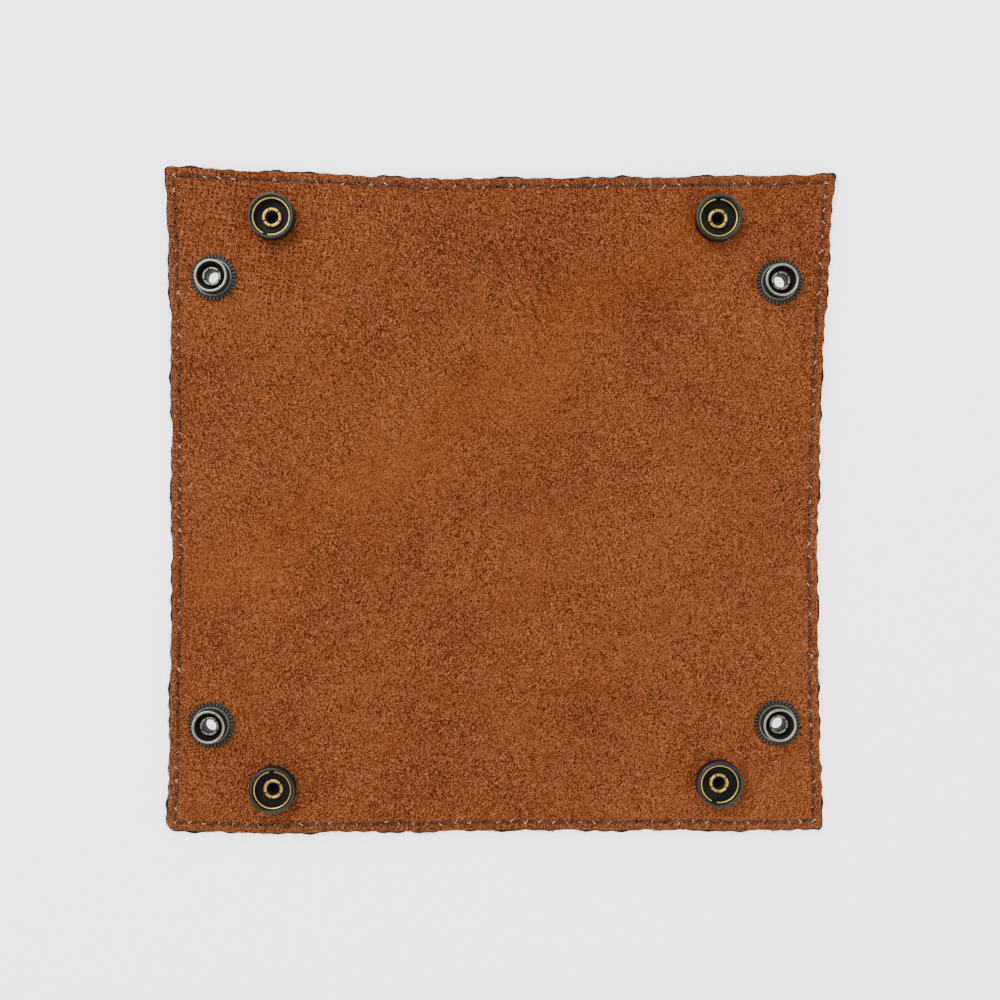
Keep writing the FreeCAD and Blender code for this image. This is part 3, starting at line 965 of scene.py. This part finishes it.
def tubes_mesh(name, groups):
    """One mesh of closed tubes from groups of rings, each with a shade per line and
    step, kept for the finish."""
    points, faces, shades, base = [], [], [], 0
    for rings, shade in groups:
        ids = base + np.arange(rings[..., 0].size).reshape(rings.shape[:3])
        base += rings[..., 0].size
        near_ring, far_ring = ids[:, :-1], ids[:, 1:]
        quads = np.stack(
            [near_ring, np.roll(near_ring, -1, 2), np.roll(far_ring, -1, 2), far_ring], -1)
        faces += quads.reshape(-1, 4).tolist()
        faces += ids[:, 0, ::-1].tolist() + ids[:, -1].tolist()
        points.append(rings.reshape(-1, 3))
        shades.append(np.broadcast_to(shade[..., None], ids.shape).ravel())
    mesh = bpy.data.meshes.new(name)
    mesh.from_pydata(np.concatenate(points).tolist(), [], faces)
    tidy = bmesh.new()
    tidy.from_mesh(mesh)
    bmesh.ops.recalc_face_normals(tidy, faces=tidy.faces)
    tidy.to_mesh(mesh)
    tidy.free()
    stored = mesh.attributes.new("shade", "FLOAT", "POINT")
    stored.data.foreach_set("value", np.concatenate(shades).astype(np.float32))
    return mesh


def stitches(start, along, out, first, last, rng, face_z, up, length, thread_r):
    """Stitches of one face. The thread comes up out of one needle hole, lies on the
    hide and goes down the next: its height falls as the sixth power of the distance
    from its middle. Its section is a two-lobed oval that turns as it goes, as two
    plies do."""
    index = np.arange(first, last + 1)
    count = len(index)
    t = np.linspace(-0.5, 0.5, 12)
    turn = np.linspace(0, 2 * math.pi, 6, endpoint=False)
    middle = SEAM_INSET + (index + 0.5) * STITCH_PITCH
    distance = middle[:, None] + t * length
    slant = rng.normal(0.12, 0.06, count) * MM
    bow = rng.normal(0, 0.06, count) * MM
    inset = SEAM_INSET + slant[:, None] * 2 * t + bow[:, None] * (1 - 4 * t * t)
    plan = start + distance[..., None] * along - inset[..., None] * out
    puff = (0.15 + rng.normal(0, 0.03, count)[:, None]) * MM
    rise = puff - 0.72 * MM * np.abs(2 * t) ** 6
    height = face_z + relief(plan) + up * rise
    twist = turn + 10.5 * t[:, None] + rng.uniform(0, 6, count)[:, None, None]
    lobes = thread_r * (0.80 + 0.20 * np.cos(2 * turn)) * (1 - 0.3 * np.abs(2 * t) ** 4)[:, None]
    lobes = np.broadcast_to(lobes, twist.shape)
    shade = np.broadcast_to(0.55 * np.abs(2 * t), height.shape)
    return tube_rings(warped(plan), height, lobes, twist, out), shade


def slivers(start, along, out, first, last, rng, tilt):
    """Pale hairs of thread and torn grain that cross beside each needle hole: short
    tapered bars, leaning to one side, whose ends bend down as a parabola. Their pale
    colour is partly their own and partly a painted highlight, the thread catching
    light where it rises out of a hole."""
    holes = np.arange(first, last + 1)
    holes = holes[rng.uniform(0, 1, len(holes)) < 0.85]
    count = len(holes)
    t = np.linspace(-0.5, 0.5, 4)
    turn = np.linspace(0, 2 * math.pi, 4, endpoint=False)
    length = rng.uniform(0.8, 1.7, count)[:, None] * MM
    lean = tilt * (0.85 + rng.normal(0, 0.28, count))[:, None]
    middle = SEAM_INSET + holes[:, None] * STITCH_PITCH + (0.22 * tilt + 0.1) * MM
    distance = middle + t * length * np.cos(lean)
    shift = rng.normal(0, 0.16, count)[:, None] * MM
    inset = SEAM_INSET + 0.12 * tilt * MM + shift + t * length * np.sin(lean)
    plan = start + distance[..., None] * along - inset[..., None] * out
    height = leather_top + relief(plan) + (0.08 - 0.22 * (2 * t) ** 2) * MM
    girth = (0.15 * MM * (1 - 0.55 * (2 * t) ** 2))[None, :, None] * np.ones((count, 1, 4))
    shade = np.full(height.shape, 1.0) * rng.uniform(0.62, 1.0, count)[:, None]
    return tube_rings(warped(plan), height, girth, turn, out), shade


def seam_mesh(name, *stretch):
    """Both faces' stitches of one stretch of edge, and the slivers at its holes."""
    return tubes_mesh("seam_" + name, [
        stitches(*stretch, leather_top - SEAM_DIP, 1, FACE_LENGTH, FACE_THREAD),
        stitches(*stretch, lining_low, -1, BOBBIN_LENGTH, BOBBIN_THREAD),
        slivers(*stretch, 1),
        slivers(*stretch, -1),
    ])


THREAD_DARK = (0.055, 0.028, 0.022)
THREAD_PALE = (0.150, 0.095, 0.080)
THREAD_DIRT = (0.016, 0.008, 0.006)
THREAD_SHADE = (0.018, 0.010, 0.008)
# Pale hairs: partly their own colour, partly a painted highlight of thread catching light
HAIR_AND_GLINT = (0.86, 0.64, 0.51)


def thread_finish():
    """Mauve-grey waxed thread: dirt in its twist, and painted shade where it goes down a
    hole. Shades above a half are the pale hairs beside the holes, pale partly in their
    own colour and partly as a painted highlight of the thread catching light."""
    f = Finish("mauve_thread")
    place = f.place()
    end = f.attribute("shade", "Fac")
    change = f.noise(place, 0.4, 2.0)
    dirt = f.noise(place, 1.9, 3.0, 0.7).ramp(0.42, 0.58)
    colour = f.blend(change.ramp(0.35, 0.65), THREAD_DARK, THREAD_PALE)
    colour = f.blend(dirt * 0.85, colour, THREAD_DIRT)
    colour = f.blend(end.ramp(0.35, 0.55) * 0.6, colour, THREAD_SHADE)
    # Pale hairs beside the holes: partly their own colour, partly a painted highlight
    colour = f.blend(end.ramp(0.60, 0.9), colour, HAIR_AND_GLINT)
    normal = f.bump(f.noise(place, 7.0, 2.0), 0.08 * MM)
    f.set(Base_Color=colour, Roughness=0.55 + 0.25 * dirt, Normal=normal)
    return f.material


thread = thread_finish()
stitch_random = np.random.default_rng(11)
for name, start, along, out, first, last, bodies, share, node in edge_stretches():
    mesh = seam_mesh(name, start, along, out, first, last, stitch_random)
    pattern_places(mesh, "back")
    piece = show(mesh, thread)
    if share is None:
        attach(piece, bodies[0])
    else:
        bend_over(piece, *bodies, share)
    if node:
        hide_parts(node)

# Cut edge ---------------------------------------------------------------------------
# The hides were cut with a knife and not burnished, so that short brown and beige
# fibres stand out of their edges, thinly and unevenly.


FIBRES_PER_MM = 4.0
FIBRE_REACH = 0.8 * MM
FIBRE_SPREAD = 0.6 * MM
ROOT_DEPTH = 0.05 * MM


def fibre_mesh(name, start, along, out, first, last, rng):
    """Fibres as thin tapered three-sided spikes: each leaves the edge outwards, then
    bends off along a parabola to a random side."""
    low = 0.0 if first == 0 else SEAM_INSET + first * STITCH_PITCH
    high = SEAM_INSET + (last + 1) * STITCH_PITCH
    count = max(2, int((high - low) / MM * FIBRES_PER_MM))
    distance = rng.uniform(low, high, count)
    depth = rng.uniform(0.1, 0.9, count)
    length = FIBRE_REACH * (0.35 + rng.exponential(0.42, count)).clip(0, 1.8)
    lean = rng.normal(0, 0.9, count)[:, None]
    drop = rng.normal(-0.1, 0.35, count)[:, None]
    thick = rng.uniform(0.05, 0.12, count) * MM
    t = np.linspace(0, 1, 4)
    turn = np.linspace(0, 2 * math.pi, 3, endpoint=False)
    run = length[:, None] * t
    plan = start + distance[:, None, None] * along - ROOT_DEPTH * out
    root = warped(plan, FIBRE_SPREAD * (1 - depth)[:, None])
    height = lining_low + depth[:, None] * (leather_top - 0.25 * MM - lining_low)
    height = height + drop * run * t + relief(plan)
    line = root + run[..., None] * out + (lean * run * t)[..., None] * along
    girth = (thick[:, None] * (1 - 0.85 * t))[..., None] * np.ones(3)
    kind = np.broadcast_to(rng.uniform(0, 1, count)[:, None], run.shape)
    return tubes_mesh("fibres_" + name, [(tube_rings(line, height, girth, turn, along), kind)])


FIBRE_BROWN = (0.030, 0.016, 0.011)
FIBRE_BEIGE = (0.42, 0.29, 0.17)
FIBRE_TAN = (0.16, 0.06, 0.02)


def fibre_finish():
    """Hide fibres: most are dark brown, about a quarter beige, with tan patches."""
    f = Finish("hide_fibre")
    kind = f.attribute("shade", "Fac")
    patches = f.noise(f.place(), 1.8, 2.0).ramp(0.4, 0.7)
    colour = f.blend(kind.ramp(0.72, 0.76), FIBRE_BROWN, FIBRE_BEIGE)
    colour = f.blend(patches * 0.4, colour, FIBRE_TAN)
    f.set(Base_Color=colour, Roughness=0.7 + 0.2 * kind)
    return f.material


fibre = fibre_finish()
fibre_random = np.random.default_rng(23)
for name, start, along, out, first, last, bodies, share, _ in edge_stretches():
    mesh = fibre_mesh(name, start, along, out, first, last, fibre_random)
    pattern_places(mesh, "back")
    piece = show(mesh, fibre)
    if share is None:
        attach(piece, bodies[0])
    else:
        bend_over(piece, *bodies, share)

# Press-studs ------------------------------------------------------------------------
# Stamped brass, plated to an antique nickel that has worn bright on its raised rims.
# The sockets hold a split ring of brass wire; their posts and rims are rolled over.


top_mm = leather_top / MM
RIDGE_RADIUS = 5.45
MILLED_TEETH = 36


def metal_finish(name, low, high, tarnish, wear_from, wear_to, rough, milled=None):
    """Plated metal: dark in its hollows and bright where it is worn, by height above
    the tray's underside in millimetres, with patches of tarnish and fine scuffs. A
    stud's flange has radial teeth round a worn ridge; milled is the stud's middle."""
    f = Finish(name)
    coordinates = f.node("ShaderNodeTexCoord", None, "Object")
    place = f.scaled(coordinates, 1 / MM)
    x, y, z = f.split(place)
    patina = f.noise(place, 0.8, 4.0, 0.65)
    grit = f.noise(place, 6.0, 3.0, 0.7)
    scuffs = f.noise(f.node("ShaderNodeMapping", None, Vector=place, Rotation=(0.0, 0.0, 0.6),
                            Scale=(0.6, 6.0, 2.0)), 1.6, 3.0, 0.6).ramp(0.55, 0.68)
    wear = z.ramp(wear_from, wear_to) * (0.55 + 0.6 * patina)
    wear = (wear + 0.16 * scuffs).at_most(1.0)
    teeth = 0
    if milled is not None:
        x = x - milled[0] / MM
        y = y - milled[1] / MM
        radius = (x * x + y * y).power(0.5)
        ridge = 1 - (radius - RIDGE_RADIUS).size().ramp(0.05, 0.3)
        on_flange = 1 - z.ramp(top_mm + 0.55, top_mm + 0.7)
        wear = (wear + 0.6 * ridge * on_flange * (0.4 + patina)).at_most(1.0)
        teeth = (x.math("ARCTAN2", y, x) * MILLED_TEETH).sine().ramp(-0.3, 0.5)
        teeth = teeth * radius.ramp(RIDGE_RADIUS + 0.1, RIDGE_RADIUS + 0.4) * on_flange
        wear = (wear + 0.14 * teeth).at_most(1.0)
    colour = f.blend(wear, low, high)
    colour = f.blend(patina.ramp(0.5, 0.72) * 0.55, colour, tarnish)
    colour = f.blend(grit.ramp(0.55, 0.75) * 0.35, colour, low)
    normal = f.bump(teeth, 0.4 * MM, f.bump(0.6 * grit + 0.4 * scuffs, 0.05 * MM))
    f.set(Base_Color=colour, Roughness=rough + 0.2 * patina + 0.3 * (1 - wear).power(3.0),
          Metallic=(1.25 * wear).at_most(1.0), Normal=normal)
    f.shader.inputs["Specular IOR Level"].default_value = 0.25
    return f.material


GUNMETAL = ((0.008, 0.009, 0.009), (0.062, 0.070, 0.066), (0.020, 0.024, 0.022))
WORN_NICKEL = ((0.012, 0.011, 0.010), (0.52, 0.49, 0.39), (0.05, 0.045, 0.036))
DULL_NICKEL = ((0.004, 0.004, 0.004), (0.36, 0.34, 0.28), (0.008, 0.007, 0.006))
BRASS = ((0.030, 0.018, 0.004), (0.90, 0.64, 0.13), (0.30, 0.19, 0.05))
metals = {
    "socket_shell": metal_finish("antique_shell", *GUNMETAL, top_mm + 1.8, top_mm + 3.4, 0.30),
    "ring_spring": metal_finish("ring_brass", *BRASS, top_mm + 2.2, top_mm + 2.7, 0.22),
    "cap_post": metal_finish("post_brass", *BRASS, top_mm + 1.2, top_mm + 1.55, 0.22),
    "snap_cap": metal_finish("cap_nickel", *GUNMETAL, -1.0, 0.6, 0.3),
    "eyelet": metal_finish("eyelet_nickel", *DULL_NICKEL, top_mm + 2.0, top_mm + 2.2, 0.3),
}
for corner in CORNERS:
    metals["stud"] = metal_finish("antique_stud_" + corner, *WORN_NICKEL, top_mm + 3.5,
                                  top_mm + 3.68, 0.26, stud_at[corner])
    for kind, metal in metals.items():
        part = frame["nodes"][kind + "_" + corner]
        for slot in part.material_slots:
            slot.material = metal
